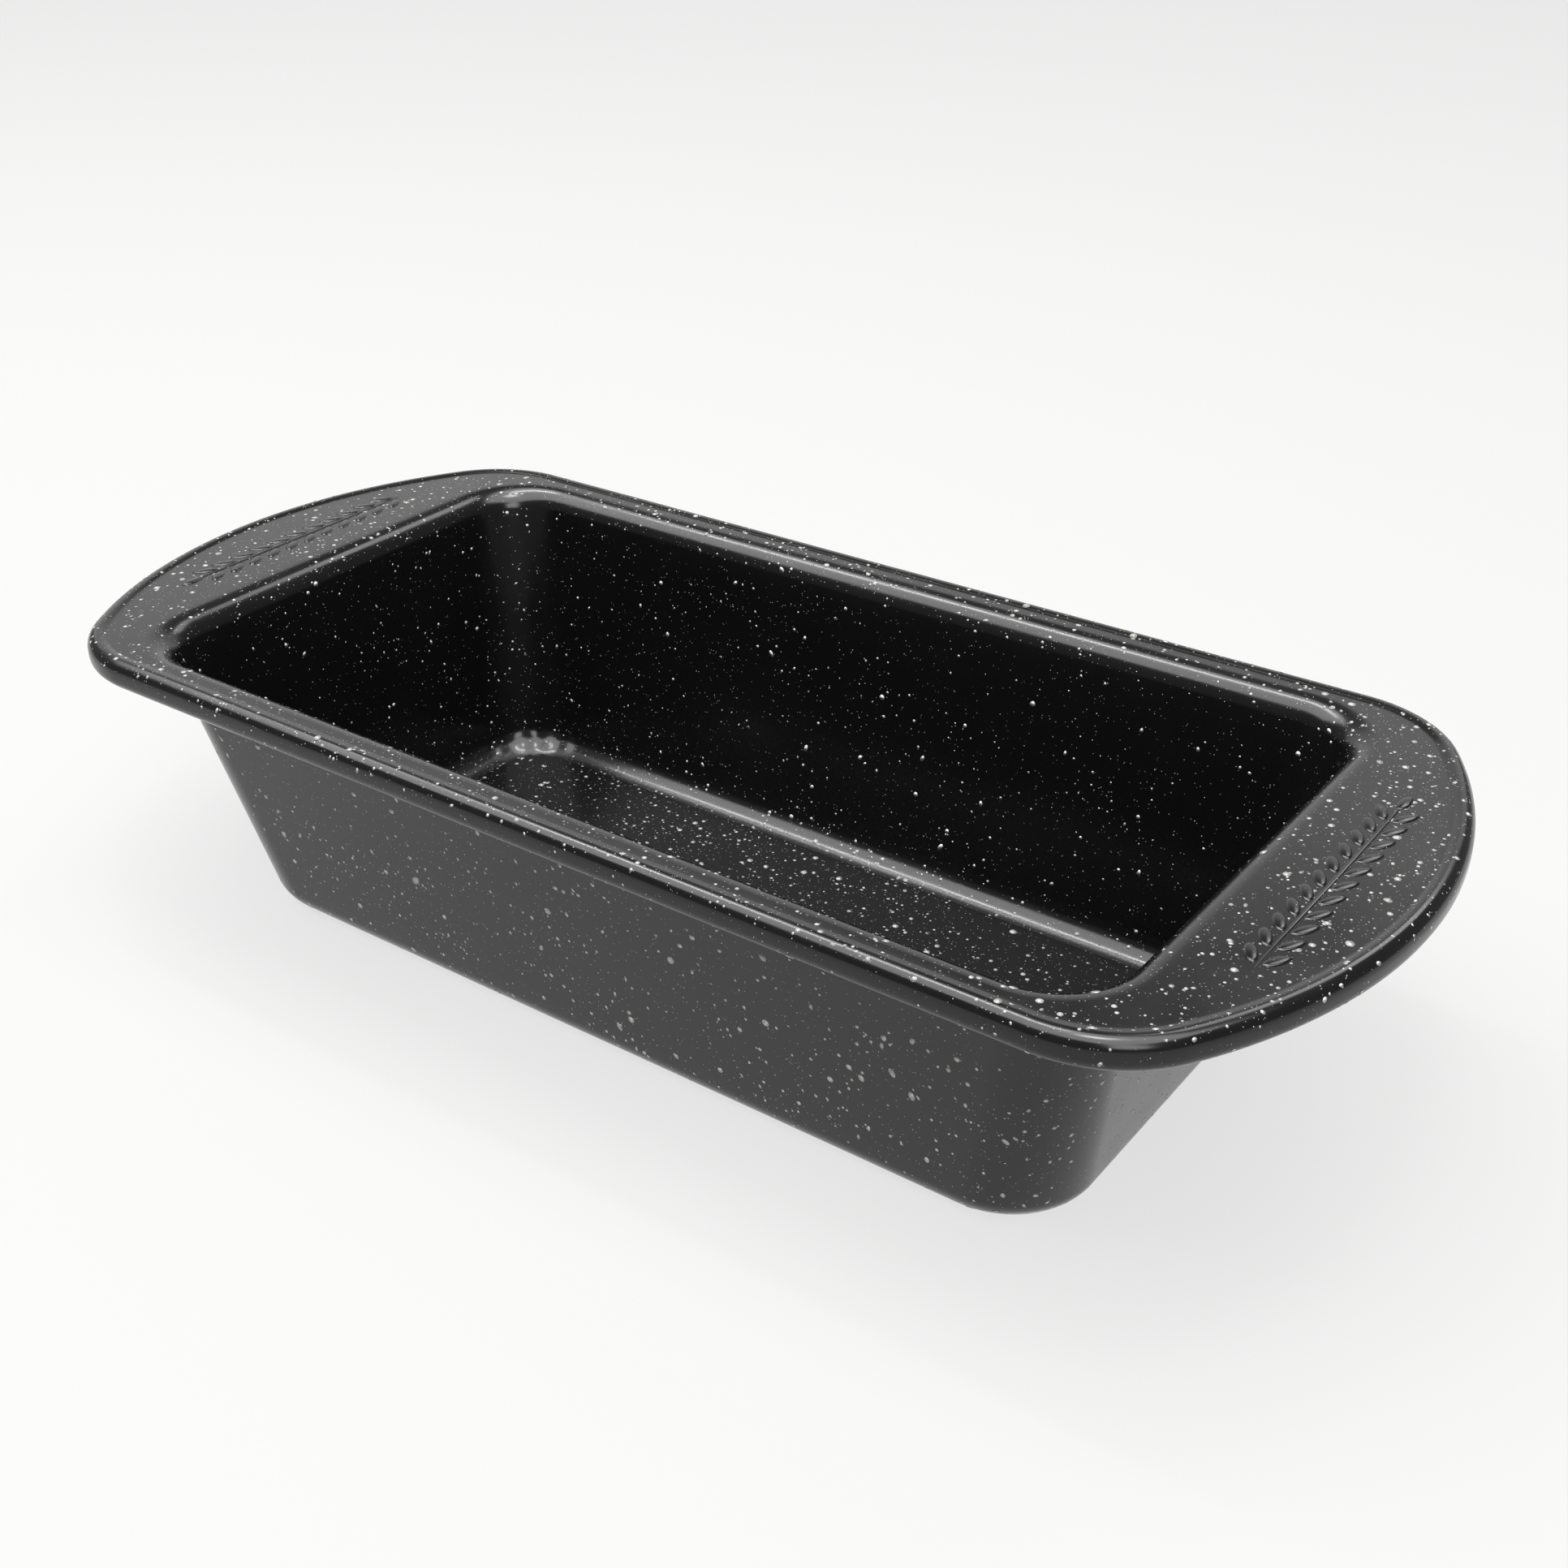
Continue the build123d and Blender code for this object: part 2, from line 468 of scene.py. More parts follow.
@dataclass(frozen=True)
class Waviness:
    """Slow unevenness of pressed sheet, which bends long reflections a little."""

    lift: float = mm(0.05)
    wave: float = mm(46.0)

    def heights(self, points: np.ndarray) -> np.ndarray:
        """Lift of each point, square to the sheet, never below its true face.

        Args:
            points: Points on a face of the sheet, as (..., 3).

        Returns:
            The lift of each point.
        """
        turn = 2 * math.pi / self.wave
        x, y, z = (points[..., i] * turn for i in range(3))
        wave = (np.sin(x + 0.6 * y + 1.3) + np.sin(0.7 * y - 1.3 * z + 0.4)
                + np.sin(0.45 * x + 1.1 * z + 2.2))
        return self.lift * (wave / 6 + 0.5)


def face_normals(loops: np.ndarray) -> np.ndarray:
    """Directions square to a face drawn as loops, on the side that is left of the loops' run.

    Args:
        loops: Points, as (loops, stations, 3).

    Returns:
        Unit vectors of the same shape. A loop that is drawn down to a line takes straight up or
        down from its neighbour.
    """
    along = np.roll(loops, -1, axis=1) - np.roll(loops, 1, axis=1)
    out = np.gradient(loops, axis=0)
    normals = np.cross(out, along)
    sizes = np.linalg.norm(normals, axis=2, keepdims=True)
    level = np.zeros_like(normals)
    level[..., 2] = 1.0
    return np.where(sizes > 1e-14, normals / np.maximum(sizes, 1e-14), level)


def loops_to_mesh(name: str, loops: np.ndarray) -> bpy.types.Mesh:
    """Turns loops of points into a smooth mesh, closed round each loop.

    Args:
        name: The mesh's name.
        loops: Points, as (loops, stations, 3).

    Returns:
        The new mesh, with no doubled points.
    """
    rows, around = loops.shape[:2]
    start = np.arange(rows - 1)[:, None] * around + np.arange(around)[None, :]
    beside = np.arange(rows - 1)[:, None] * around + (np.arange(around)[None, :] + 1) % around
    quads = np.stack((start, start + around, beside + around, beside), axis=-1).reshape(-1, 4)
    mesh = bpy.data.meshes.new(name)
    mesh.from_pydata(loops.reshape(-1, 3).tolist(), [], quads.tolist())
    shell = bmesh.new()
    shell.from_mesh(mesh)
    bmesh.ops.remove_doubles(shell, verts=shell.verts, dist=WELD)
    bmesh.ops.dissolve_degenerate(shell, edges=shell.edges, dist=SLIVER)
    for face in shell.faces:
        face.smooth = True
    shell.to_mesh(mesh)
    shell.free()
    return mesh


def add_object(name: str, mesh: bpy.types.Mesh) -> bpy.types.Object:
    """Puts a mesh in the scene as an object at the origin."""
    piece = bpy.data.objects.new(name, mesh)
    bpy.context.scene.collection.objects.link(piece)
    return piece


def bake_tree(piece: bpy.types.Object, tree: bpy.types.NodeTree, inputs: dict) -> None:
    """Runs a geometry tree on a piece and keeps the result as the piece's plain mesh.

    Args:
        piece: The object whose mesh feeds the tree.
        tree: The geometry tree.
        inputs: Values of the tree's named inputs.
    """
    modifier = piece.modifiers.new(tree.name, "NODES")
    modifier.node_group = tree
    sockets = {item.name: item.identifier for item in tree.interface.items_tree
               if item.item_type == "SOCKET" and item.in_out == "INPUT"}
    for name, value in inputs.items():
        modifier[sockets[name]] = value
    depsgraph = bpy.context.evaluated_depsgraph_get()
    mesh = bpy.data.meshes.new_from_object(piece.evaluated_get(depsgraph))
    piece.modifiers.remove(modifier)
    spare = piece.data
    piece.data = mesh
    bpy.data.meshes.remove(spare)


def discard(spare: bpy.types.Object, tree: bpy.types.NodeTree) -> None:
    """Removes an object that was only a pattern, with its mesh, and the tree that used it."""
    mesh = spare.data
    bpy.data.objects.remove(spare)
    bpy.data.meshes.remove(mesh)
    bpy.data.node_groups.remove(tree)


def triangles_of(piece: bpy.types.Object) -> int:
    """Counts the triangles of a piece's mesh."""
    return sum(len(face.vertices) - 2 for face in piece.data.polygons)


def new_geometry_tree(name: str, inputs: dict[str, str]) -> tuple[
        bpy.types.NodeTree, bpy.types.Node, bpy.types.Node]:
    """Starts a geometry tree with named inputs.

    Args:
        name: The tree's name.
        inputs: Socket type of each input, by name.

    Returns:
        The tree, its input node and its output node.
    """
    tree = bpy.data.node_groups.new(name, "GeometryNodeTree")
    tree.interface.new_socket("Geometry", in_out="INPUT", socket_type="NodeSocketGeometry")
    for title, kind in inputs.items():
        tree.interface.new_socket(title, in_out="INPUT", socket_type=kind)
    tree.interface.new_socket("Geometry", in_out="OUTPUT", socket_type="NodeSocketGeometry")
    return tree, add_node(tree, "NodeGroupInput"), add_node(tree, "NodeGroupOutput")


# ---- finishes ----------------------------------------------------------------------------------


def new_material(name: str) -> tuple[bpy.types.Material, bpy.types.NodeTree, bpy.types.Node]:
    """Starts a material.

    Args:
        name: The material's name.

    Returns:
        The material, its node tree and its main shader.
    """
    material = bpy.data.materials.new(name)
    material.use_nodes = True
    tree = material.node_tree
    tree.nodes.clear()
    shader = add_node(tree, "ShaderNodeBsdfPrincipled")
    add_node(tree, "ShaderNodeOutputMaterial", links={"Surface": shader.outputs["BSDF"]})
    return material, tree, shader


@dataclass(frozen=True)
class NonStickCoat:
    """Sprayed and baked non-stick enamel, near black and semi-gloss.

    Spraying leaves a faint orange peel and a mist of droplets too small to stand proud, so the
    gloss is a little broken and the black is dusted with grey.
    """

    name: str = "sprayed_non_stick_enamel"
    colour: str = "#09090a"
    mist_colour: str = "#7d7d79"
    roughness: float = 0.19
    ior: float = 1.45
    peel: float = mm(1.6)
    peel_depth: float = mm(0.006)
    mist_spacing: float = mm(0.75)
    mist_size: float = 0.16
    mist_share: float = 0.55

    def material(self) -> bpy.types.Material:
        """Builds the material."""
        material, tree, shader = new_material(self.name)
        shader.inputs["IOR"].default_value = self.ior
        place = add_node(tree, "ShaderNodeTexCoord").outputs["Object"]
        cells = add_node(tree, "ShaderNodeTexVoronoi",
                         {"feature": "F1", "Scale": 1 / self.mist_spacing}, {"Vector": place})
        chance = add_node(tree, "ShaderNodeSeparateColor", links={0: cells.outputs["Color"]})
        drawn = add_node(tree, "ShaderNodeMath", {"operation": "LESS_THAN", 1: self.mist_share},
                         {0: chance.outputs[0]})
        reach = add_node(tree, "ShaderNodeMath", {"operation": "MULTIPLY", 1: self.mist_size},
                         {0: chance.outputs[1]})
        inside = add_node(tree, "ShaderNodeMath", {"operation": "LESS_THAN"},
                          {0: cells.outputs["Distance"], 1: reach.outputs[0]})
        mist = add_node(tree, "ShaderNodeMath", {"operation": "MULTIPLY"},
                        {0: drawn.outputs[0], 1: inside.outputs[0]})
        base = add_node(tree, "ShaderNodeMix",
                        {"data_type": "RGBA", 6: linear(self.colour), 7: linear(self.mist_colour)},
                        {0: mist.outputs[0]})
        tree.links.new(base.outputs[2], shader.inputs["Base Color"])
        cloud = add_node(tree, "ShaderNodeTexNoise", {"Scale": 1 / mm(14), "Detail": 3.0},
                         {"Vector": place})
        gloss = add_node(tree, "ShaderNodeMapRange",
                         {"From Min": 0.3, "From Max": 0.7, "To Min": self.roughness - 0.03,
                          "To Max": self.roughness + 0.04}, {"Value": cloud.outputs["Fac"]})
        dull = add_node(tree, "ShaderNodeMath", {"operation": "MULTIPLY_ADD", 1: 0.25},
                        {0: mist.outputs[0], 2: gloss.outputs[0]})
        tree.links.new(dull.outputs[0], shader.inputs["Roughness"])
        peel = add_node(tree, "ShaderNodeTexNoise", {"Scale": 1 / self.peel, "Detail": 2.0},
                        {"Vector": place})
        bump = add_node(tree, "ShaderNodeBump", {"Strength": 1.0, "Distance": self.peel_depth},
                        {"Height": peel.outputs["Fac"]})
        tree.links.new(bump.outputs["Normal"], shader.inputs["Normal"])
        return material


@dataclass(frozen=True)
class SpatterPaint:
    """Light grey enamel flicked on as droplets, satin, each a slightly different grey."""

    name: str = "light_grey_spatter_enamel"
    darker: str = "#8e8e8a"
    lighter: str = "#c4c4bf"
    roughness: float = 0.42
    ior: float = 1.5
    patch: float = mm(1.1)

    def material(self) -> bpy.types.Material:
        """Builds the material."""
        material, tree, shader = new_material(self.name)
        shader.inputs["IOR"].default_value = self.ior
        place = add_node(tree, "ShaderNodeTexCoord").outputs["Object"]
        patch = add_node(tree, "ShaderNodeTexNoise", {"Scale": 1 / self.patch, "Detail": 1.0},
                         {"Vector": place})
        share = add_node(tree, "ShaderNodeMapRange", {"From Min": 0.3, "From Max": 0.7},
                         {"Value": patch.outputs["Fac"]})
        base = add_node(tree, "ShaderNodeMix",
                        {"data_type": "RGBA", 6: linear(self.darker), 7: linear(self.lighter)},
                        {0: share.outputs[0]})
        tree.links.new(base.outputs[2], shader.inputs["Base Color"])
        grain = add_node(tree, "ShaderNodeMapRange",
                         {"To Min": self.roughness - 0.06, "To Max": self.roughness + 0.06},
                         {"Value": patch.outputs["Fac"]})
        tree.links.new(grain.outputs[0], shader.inputs["Roughness"])
        return material


@dataclass(frozen=True)
class RolledSteel:
    """Cold-rolled steel sheet: grey metal with a fine grain along the rolling direction."""

    name: str = "cold_rolled_steel"
    colour: str = "#8f9193"
    roughness: float = 0.38
    grain: float = mm(0.3)
    grain_length: float = 40.0

    def material(self) -> bpy.types.Material:
        """Builds the material."""
        material, tree, shader = new_material(self.name)
        shader.inputs["Metallic"].default_value = 1.0
        place = add_node(tree, "ShaderNodeTexCoord").outputs["Object"]
        drawn = add_node(tree, "ShaderNodeMapping", {"Scale": (1 / self.grain_length, 1, 1)},
                         {"Vector": place})
        grain = add_node(tree, "ShaderNodeTexNoise", {"Scale": 1 / self.grain, "Detail": 2.0},
                         {"Vector": drawn.outputs[0]})
        tone = add_node(tree, "ShaderNodeMix",
                        {"data_type": "RGBA", 6: linear(self.colour), 7: linear("#a9abad")},
                        {0: grain.outputs["Fac"]})
        tree.links.new(tone.outputs[2], shader.inputs["Base Color"])
        gloss = add_node(tree, "ShaderNodeMapRange",
                         {"To Min": self.roughness - 0.08, "To Max": self.roughness + 0.08},
                         {"Value": grain.outputs["Fac"]})
        tree.links.new(gloss.outputs[0], shader.inputs["Roughness"])
        return material


# ---- coats -------------------------------------------------------------------------------------


@dataclass
class CoatSkin:
    """One coat of the pan: a closed skin over one face of the sheet."""

    name: str
    node: str
    slot: str
    face: Face
    shape: SheetShape
    counts: LoopCounts = LoopCounts()
    back_counts: LoopCounts = LoopCounts(2, 7, 2, 6, 2, 6)
    standing: float = mm(0.02)

    def loops(self, depth: float, counts: LoopCounts) -> np.ndarray:
        """Loops of one layer of the sheet, from the middle of the floor to the end of the curl.

        Args:
            depth: Layer of the sheet.
            counts: Loops for each stretch.

        Returns:
            Points, as (loops, stations, 3).
        """
        shape = self.shape
        body = shape.floor_section(depth, counts.floor)
        body += shape.wall_section(depth, counts.fillet, counts.wall, counts.shoulder)
        loops = [shape.body_loop(half, corner, height) for half, height, corner in body]
        roll = shape.roll_section(depth, counts.roll)
        shoulder_end, seam = loops[-1], shape.outline_loop(*roll[0])
        loops += [shoulder_end * (1 - share) + seam * share
                  for share in np.linspace(0, 1, counts.flange + 1)[1:-1]]
        loops += [shape.outline_loop(inset, height) for inset, height in roll]
        return np.array(loops)

    def shown_face(self) -> np.ndarray:
        """Loops of the face that shows, with what pressing left in it."""
        inside = self.face is Face.CAVITY
        loops = self.loops(self.shape.sheet if inside else 0.0, self.counts)
        lift = Waviness().heights(loops)
        if inside:
            lift = lift + CornerPuckers(self.shape.floor_corner_centre()).heights(loops)
        normals = face_normals(loops) * (1 if inside else -1)
        standing = loops[..., 2] < self.standing
        return loops + normals * np.where(standing, 0.0, lift)[..., None]

    def build(self, material: bpy.types.Material) -> bpy.types.Object:
        """Builds the skin, dresses it and ties it to the pan.

        Args:
            material: The coat's finish.

        Returns:
            The finished piece.
        """
        shape = self.shape
        inside = self.face is Face.CAVITY
        shown = self.shown_face()
        back_depth = shape.coat + shape.steel if inside else shape.coat
        back = self.loops(back_depth, self.back_counts)
        loops = np.concatenate((shown, back[::-1]))
        # As wound here, the faces of both skins point into the skin and not out of it.
        if inside:
            loops = loops[:, ::-1]
        piece = add_object(self.name, loops_to_mesh(self.name, loops))
        piece.data.materials.append(material)
        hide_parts(self.node)
        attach(piece, ROOT)
        log.info("%s: %d faces", self.name, len(piece.data.polygons))
        return piece


@dataclass(frozen=True)
class Droplet:
    """A dried droplet of radius 1: a low dome with its closed foot a little below z = 0."""

    sides: int
    rings: tuple[tuple[float, float], ...]
    top: float = 1.0

    def mesh(self, name: str = "droplet") -> bpy.types.Mesh:
        """Builds the dome from its rings of (reach, height), lowest first, and its top."""
        turns = [2 * math.pi * i / self.sides for i in range(self.sides)]
        points = [(reach * math.cos(turn), reach * math.sin(turn), height)
                  for reach, height in self.rings for turn in turns]
        points.append((0.0, 0.0, self.top))
        faces = [tuple(range(self.sides))[::-1]]
        for level in range(len(self.rings) - 1):
            for i in range(self.sides):
                j = (i + 1) % self.sides
                low, high = level * self.sides, (level + 1) * self.sides
                faces.append((low + i, low + j, high + j, high + i))
        last = (len(self.rings) - 1) * self.sides
        faces += [(last + i, last + (i + 1) % self.sides, len(points) - 1)
                  for i in range(self.sides)]
        mesh = bpy.data.meshes.new(name)
        mesh.from_pydata(points, [], faces)
        return mesh


class Grade(Enum):
    """Sizes that spatter falls in."""

    COARSE = "coarse"
    FINE = "fine"


@dataclass(frozen=True)
class DropletMix:
    """How many droplets of one grade fall on a level face, and how large they are."""

    per_square_metre: float
    smallest: float
    largest: float
    steepness: float
    ragged: float
    flatness: float
    droplet: Droplet


MIXES = {
    Grade.COARSE: DropletMix(80000.0, mm(0.24), mm(0.85), 2.5, mm(0.11), 0.06,
                             Droplet(9, ((1.0, -0.6), (0.9, 0.5)))),
    Grade.FINE: DropletMix(260000.0, mm(0.08), mm(0.2), 2.0, mm(0.05), 0.09,
                           Droplet(6, ((1.15, -0.5),))),
}


@dataclass
class Spatter:
    """Droplets of light paint that lie on a coat, scattered by a geometry tree."""

    skin: CoatSkin
    grade: Grade
    seed: int
    upright_share: float
    upright_trim: float
    standing_clear: float = mm(0.45)
    cloud: float = mm(16)
    grain: float = mm(0.55)

    @property
    def name(self) -> str:
        """The piece's name."""
        side = "inner" if self.skin.face is Face.CAVITY else "outer"
        return f"{side}_spatter_{self.grade.value}"

    def ground(self) -> bpy.types.Mesh:
        """Mesh of the face that droplets fall on: not the standing ring, nor inside the roll."""
        loops = self.skin.shown_face()
        inside = self.skin.face is Face.CAVITY
        if inside:
            return loops_to_mesh("ground", loops[:, ::-1])
        flange_end = len(loops) - len(self.skin.shape.roll_section(0.0, self.skin.counts.roll))
        loops = loops[:flange_end + 2]
        standing = np.where(loops[:, 0, 2] < self.standing_clear)[0]
        panel, rest = loops[:standing[0]], loops[standing[-1] + 1:]
        mesh = loops_to_mesh("ground", panel)
        outer = loops_to_mesh("ground", rest)
        both = bmesh.new()
        both.from_mesh(mesh)
        both.from_mesh(outer)
        both.to_mesh(mesh)
        both.free()
        bpy.data.meshes.remove(outer)
        return mesh

    def tree(self) -> bpy.types.NodeTree:
        """Builds the tree that scatters droplets: many small ones, few large ones.

        Level faces catch the full density. Upright faces catch a share of it, and what lands on
        them is smaller and may run downwards a little.

        Returns:
            The geometry tree.
        """
        tree, given, result = new_geometry_tree(
            self.name,
            {"Density": "NodeSocketFloat", "Upright Share": "NodeSocketFloat",
             "Upright Trim": "NodeSocketFloat", "Seed": "NodeSocketInt",
             "Smallest": "NodeSocketFloat", "Largest": "NodeSocketFloat",
             "Steepness": "NodeSocketFloat", "Flatness": "NodeSocketFloat",
             "Ragged": "NodeSocketFloat", "Droplet": "NodeSocketObject",
             "Paint": "NodeSocketMaterial"})
        ask = given.outputs
        cloud = add_node(tree, "ShaderNodeTexNoise", {"Scale": 1 / self.cloud, "Detail": 2.0})
        crowd = add_node(tree, "ShaderNodeMapRange",
                         {"From Min": 0.35, "From Max": 0.68, "To Min": 0.55, "To Max": 1.5},
                         {"Value": cloud.outputs["Fac"]})
        facing = add_node(tree, "GeometryNodeInputNormal")
        split = add_node(tree, "ShaderNodeSeparateXYZ", links={0: facing.outputs[0]})
        level = add_node(tree, "ShaderNodeMath", {"operation": "ABSOLUTE"}, {0: split.outputs["Z"]})
        catch = add_node(tree, "ShaderNodeMapRange",
                         {"From Min": 0.25, "From Max": 0.9, "To Max": 1.0},
                         {"Value": level.outputs[0], "To Min": ask["Upright Share"]})
        thick = add_node(tree, "ShaderNodeMath", {"operation": "MULTIPLY"},
                         {0: crowd.outputs[0], 1: catch.outputs[0]})
        density = add_node(tree, "ShaderNodeMath", {"operation": "MULTIPLY"},
                           {0: ask["Density"], 1: thick.outputs[0]})
        scatter = add_node(tree, "GeometryNodeDistributePointsOnFaces", None,
                           {"Mesh": ask["Geometry"], "Density": density.outputs[0],
                            "Seed": ask["Seed"]})
        upright = add_node(tree, "FunctionNodeAlignRotationToVector",
                           {"axis": "Y", "pivot_axis": "Z", "Vector": (0.0, 0.0, 1.0)},
                           {"Rotation": scatter.outputs["Rotation"]})
        normal = add_node(tree, "ShaderNodeSeparateXYZ", links={0: scatter.outputs["Normal"]})
        flat = add_node(tree, "ShaderNodeMath", {"operation": "ABSOLUTE"},
                        {0: normal.outputs["Z"]})
        chance = add_node(tree, "FunctionNodeRandomValue", {"data_type": "FLOAT"},
                          {"Seed": ask["Seed"]})
        ratio = add_node(tree, "ShaderNodeMath", {"operation": "DIVIDE"},
                         {0: ask["Smallest"], 1: ask["Largest"]})
        rarest = add_node(tree, "ShaderNodeMath", {"operation": "POWER"},
                          {0: ratio.outputs[0], 1: ask["Steepness"]})
        draw = add_node(tree, "ShaderNodeMapRange", {"To Max": 1.0},
                        {"Value": chance.outputs[1], "To Min": rarest.outputs[0]})
        bend = add_node(tree, "ShaderNodeMath", {"operation": "DIVIDE"},
                        {0: -1.0, 1: ask["Steepness"]})
        growth = add_node(tree, "ShaderNodeMath", {"operation": "POWER"},
                          {0: draw.outputs[0], 1: bend.outputs[0]})
        full = add_node(tree, "ShaderNodeMath", {"operation": "MULTIPLY"},
                        {0: ask["Smallest"], 1: growth.outputs[0]})
        trim = add_node(tree, "ShaderNodeMapRange", {"To Max": 1.0},
                        {"Value": flat.outputs[0], "To Min": ask["Upright Trim"]})
        radius = add_node(tree, "ShaderNodeMath", {"operation": "MULTIPLY"},
                          {0: full.outputs[0], 1: trim.outputs[0]})
        run_seed = add_node(tree, "ShaderNodeMath", {"operation": "ADD", 1: 7.0},
                            {0: ask["Seed"]})
        run = add_node(tree, "FunctionNodeRandomValue", {"data_type": "FLOAT"},
                       {"Seed": run_seed.outputs[0]})
        rare_run = add_node(tree, "ShaderNodeMath", {"operation": "POWER", 1: 4.0},
                            {0: run.outputs[1]})
        run_most = add_node(tree, "ShaderNodeMapRange", {"To Min": 1.25, "To Max": 0.35},
                            {"Value": flat.outputs[0]})
        stretch = add_node(tree, "ShaderNodeMath", {"operation": "MULTIPLY_ADD", 2: 1.0},
                           {0: rare_run.outputs[0], 1: run_most.outputs[0]})
        long_way = add_node(tree, "ShaderNodeMath", {"operation": "MULTIPLY"},
                            {0: radius.outputs[0], 1: stretch.outputs[0]})
        rise = add_node(tree, "ShaderNodeMath", {"operation": "MULTIPLY"},
                        {0: radius.outputs[0], 1: ask["Flatness"]})
        size = add_node(tree, "ShaderNodeCombineXYZ", None,
                        {"X": radius.outputs[0], "Y": long_way.outputs[0], "Z": rise.outputs[0]})
        turn_seed = add_node(tree, "ShaderNodeMath", {"operation": "ADD", 1: 13.0},
                             {0: ask["Seed"]})
        turn = add_node(tree, "FunctionNodeRandomValue", {"data_type": "FLOAT"},
                        {"Seed": turn_seed.outputs[0]})
        swing = add_node(tree, "ShaderNodeMapRange", {"To Min": 0.5, "To Max": 6.2},
                         {"Value": flat.outputs[0]})
        centred_turn = add_node(tree, "ShaderNodeMath", {"operation": "SUBTRACT", 1: 0.5},
                                {0: turn.outputs[1]})
        turned = add_node(tree, "ShaderNodeMath", {"operation": "MULTIPLY"},
                          {0: centred_turn.outputs[0], 1: swing.outputs[0]})
        twist = add_node(tree, "FunctionNodeAxisAngleToRotation", {"Axis": (0.0, 0.0, 1.0)},
                         {"Angle": turned.outputs[0]})
        aim = add_node(tree, "FunctionNodeRotateRotation", {"rotation_space": "LOCAL"},
                       {"Rotation": upright.outputs[0], "Rotate By": twist.outputs[0]})
        dome = add_node(tree, "GeometryNodeObjectInfo", None, {"Object": ask["Droplet"]})
        marked = add_node(tree, "GeometryNodeStoreNamedAttribute",
                          {"data_type": "FLOAT_VECTOR", "domain": "POINT"},
                          {"Geometry": scatter.outputs["Points"], "Name": "outward",
                           "Value": scatter.outputs["Normal"]})
        laid = add_node(tree, "GeometryNodeInstanceOnPoints", None,
                        {"Points": marked.outputs[0], "Instance": dome.outputs["Geometry"],
                         "Rotation": aim.outputs[0], "Scale": size.outputs[0]})
        real = add_node(tree, "GeometryNodeRealizeInstances", None,
                        {"Geometry": laid.outputs["Instances"]})
        where = add_node(tree, "GeometryNodeInputPosition")
        noise = add_node(tree, "ShaderNodeTexNoise", {"Scale": 1 / self.grain, "Detail": 1.0},
                         {"Vector": where.outputs[0]})
        centred = add_node(tree, "ShaderNodeVectorMath",
                           {"operation": "SUBTRACT", 1: (0.5, 0.5, 0.5)},
                           {0: noise.outputs["Color"]})
        shove = add_node(tree, "ShaderNodeVectorMath", {"operation": "SCALE"},
                         {0: centred.outputs[0], "Scale": ask["Ragged"]})
        outward = add_node(tree, "GeometryNodeInputNamedAttribute",
                           {"data_type": "FLOAT_VECTOR", "Name": "outward"})
        lifted = add_node(tree, "ShaderNodeVectorMath", {"operation": "PROJECT"},
                          {0: shove.outputs[0], 1: outward.outputs["Attribute"]})
        sideways = add_node(tree, "ShaderNodeVectorMath", {"operation": "SUBTRACT"},
                            {0: shove.outputs[0], 1: lifted.outputs[0]})
        moved = add_node(tree, "GeometryNodeSetPosition", None,
                         {"Geometry": real.outputs[0], "Offset": sideways.outputs[0]})
        unmarked = add_node(tree, "GeometryNodeRemoveAttribute", None,
                            {"Geometry": moved.outputs[0], "Name": "outward"})
        smooth = add_node(tree, "GeometryNodeSetShadeSmooth", None,
                          {"Geometry": unmarked.outputs[0]})
        painted = add_node(tree, "GeometryNodeSetMaterial", None,
                           {"Geometry": smooth.outputs[0], "Material": ask["Paint"]})
        tree.links.new(painted.outputs[0], result.inputs[0])
        return tree

    def build(self, material: bpy.types.Material) -> bpy.types.Object:
        """Scatters the droplets and ties them to the pan.

        Args:
            material: The paint's finish.

        Returns:
            The finished piece.
        """
        mix = MIXES[self.grade]
        piece = add_object(self.name, self.ground())
        dome = add_object("droplet", mix.droplet.mesh())
        tree = self.tree()
        bake_tree(piece, tree, {
            "Density": mix.per_square_metre, "Upright Share": self.upright_share,
            "Upright Trim": self.upright_trim, "Seed": self.seed,
            "Smallest": mix.smallest, "Largest": mix.largest,
            "Steepness": mix.steepness, "Flatness": mix.flatness, "Ragged": mix.ragged,
            "Droplet": dome, "Paint": material})
        discard(dome, tree)
        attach(piece, ROOT)
        log.info("%s: %d triangles", self.name, triangles_of(piece))
        return piece


